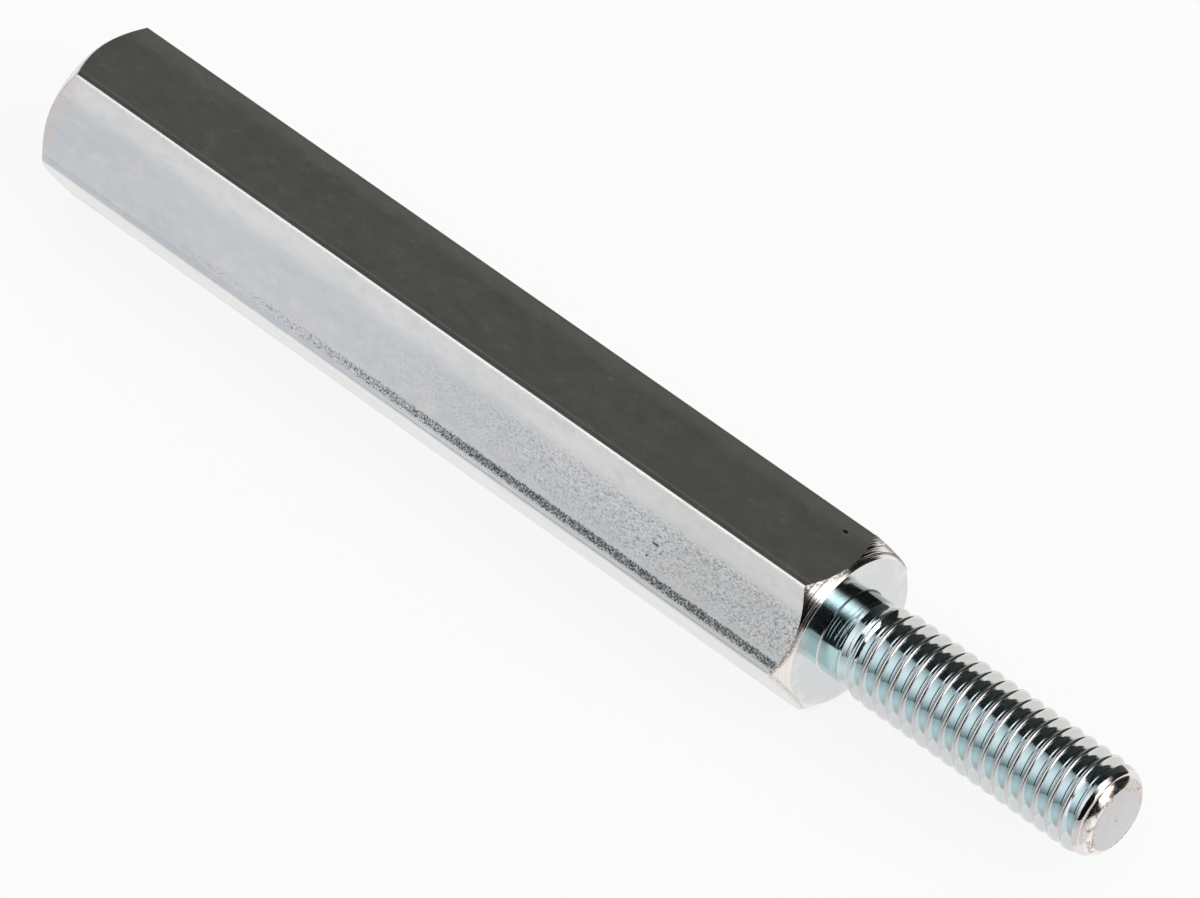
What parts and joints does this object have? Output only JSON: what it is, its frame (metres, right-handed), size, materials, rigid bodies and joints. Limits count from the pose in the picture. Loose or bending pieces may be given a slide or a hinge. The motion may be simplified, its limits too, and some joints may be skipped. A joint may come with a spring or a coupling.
{
  "type": "hex standoff",
  "caption": "Hexagonal male-female standoff: a long hexagon bar with bevelled ends, a threaded stud on one end and a tapped blind hole in the other.",
  "frame": {"origin": "centre of the shoulder face, on the axis, where the stud leaves the hexagon body", "axes": "+X along the axis out of the stud; +Z square to one flat, which is on top with the opposite flat below; +Y completes the right-handed frame, towards a long corner of the hexagon"},
  "size_m": [0.0802, 0.0116, 0.01],
  "materials": {
    "zinc_plated_steel": "bright zinc plating with a clear blue passivation on turned and drawn steel, glossy, faintly iridescent, with small pits and turning marks"
  },
  "bodies": {
    "root": {"standoff": "zinc_plated_steel"}
  },
  "joints": []
}
